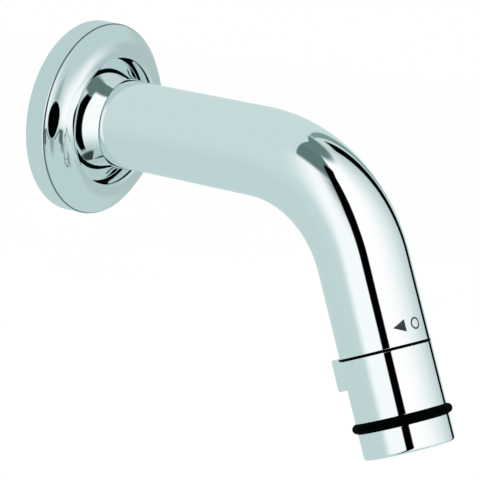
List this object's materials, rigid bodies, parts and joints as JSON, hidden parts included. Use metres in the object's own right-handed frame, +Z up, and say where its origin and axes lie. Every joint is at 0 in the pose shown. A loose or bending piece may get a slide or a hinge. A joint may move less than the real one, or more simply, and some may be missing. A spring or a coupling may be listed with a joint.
{
  "type": "wall-mounted tap with a turning outlet",
  "caption": "Bent wall tap spout with a domed wall cover and a turning outlet sleeve that opens a ceramic valve and ends in an aerator.",
  "frame": {"origin": "centre of the inlet thread in the plane of the finished wall, where the wall cover rests", "axes": "+X to the right for someone who faces the wall, +Y into the wall, +Z up; the spout reaches out along -Y"},
  "size_m": [0.062, 0.1597, 0.1161],
  "materials": {
    "polished_tube": "polished chrome plating on cast and bent brass",
    "polished_sleeve": "polished chrome plating on turned brass",
    "polished_escutcheon": "polished chrome plating on pressed brass",
    "polished_collar": "polished chrome plating on turned brass",
    "bare_brass": "turned brass, not plated",
    "valve_brass": "turned brass, not plated",
    "aerator_brass": "thin chrome plating on turned brass",
    "spring_steel": "stamped stainless spring steel",
    "stainless_sheet": "pressed stainless sheet",
    "stainless_mesh": "woven stainless wire",
    "black_rubber": "matte black rubber",
    "grey_rubber": "matte grey rubber",
    "fibre_gasket": "smooth fibre gasket, dull green-grey",
    "white_ceramic": null,
    "white_slide_plastic": "white low-friction plastic",
    "stop_plastic": "dark grey acetal",
    "aerator_plastic": "light grey acetal",
    "clear_grille": "pale grey acetal"
  },
  "bodies": {
    "tap_body": {"spout_body": "polished_tube", "inlet_nipple": "bare_brass", "body_gasket": "fibre_gasket", "inlet_strainer": "stainless_sheet", "union_collar": "polished_collar", "collar_snap_ring": "spring_steel", "escutcheon": "polished_escutcheon", "escutcheon_grip_seal": "black_rubber", "wall_gasket": "grey_rubber", "valve_housing": "valve_brass", "housing_o_ring": "black_rubber", "inlet_lip_seal": "black_rubber", "fixed_ceramic_disc": "white_ceramic", "slide_ring": "white_slide_plastic", "stop_ring": "stop_plastic"},
    "turning_outlet": {"turning_ceramic_disc": "white_ceramic", "hollow_spindle": "valve_brass", "upper_spindle_o_ring": "black_rubber", "lower_spindle_o_ring": "black_rubber", "spindle_circlip": "spring_steel", "turning_sleeve": "polished_sleeve", "grip_ring": "black_rubber", "sleeve_washer": "stainless_sheet", "sleeve_nut": "bare_brass", "aerator_seal": "grey_rubber", "aerator_shell": "aerator_brass", "aerator_insert": "aerator_plastic", "aerator_jet_plate": "aerator_plastic", "upper_screen": "stainless_mesh", "lower_screen": "stainless_mesh", "aerator_grille": "clear_grille"}
  },
  "joints": [
    {"name": "outlet_turn", "type": "hinge", "parent": "tap_body", "child": "turning_outlet", "pos_m": [0, -0.11959, -0.05136], "axis": [0, -0.4067, -0.9135], "range_deg": [0, 90]}
  ]
}
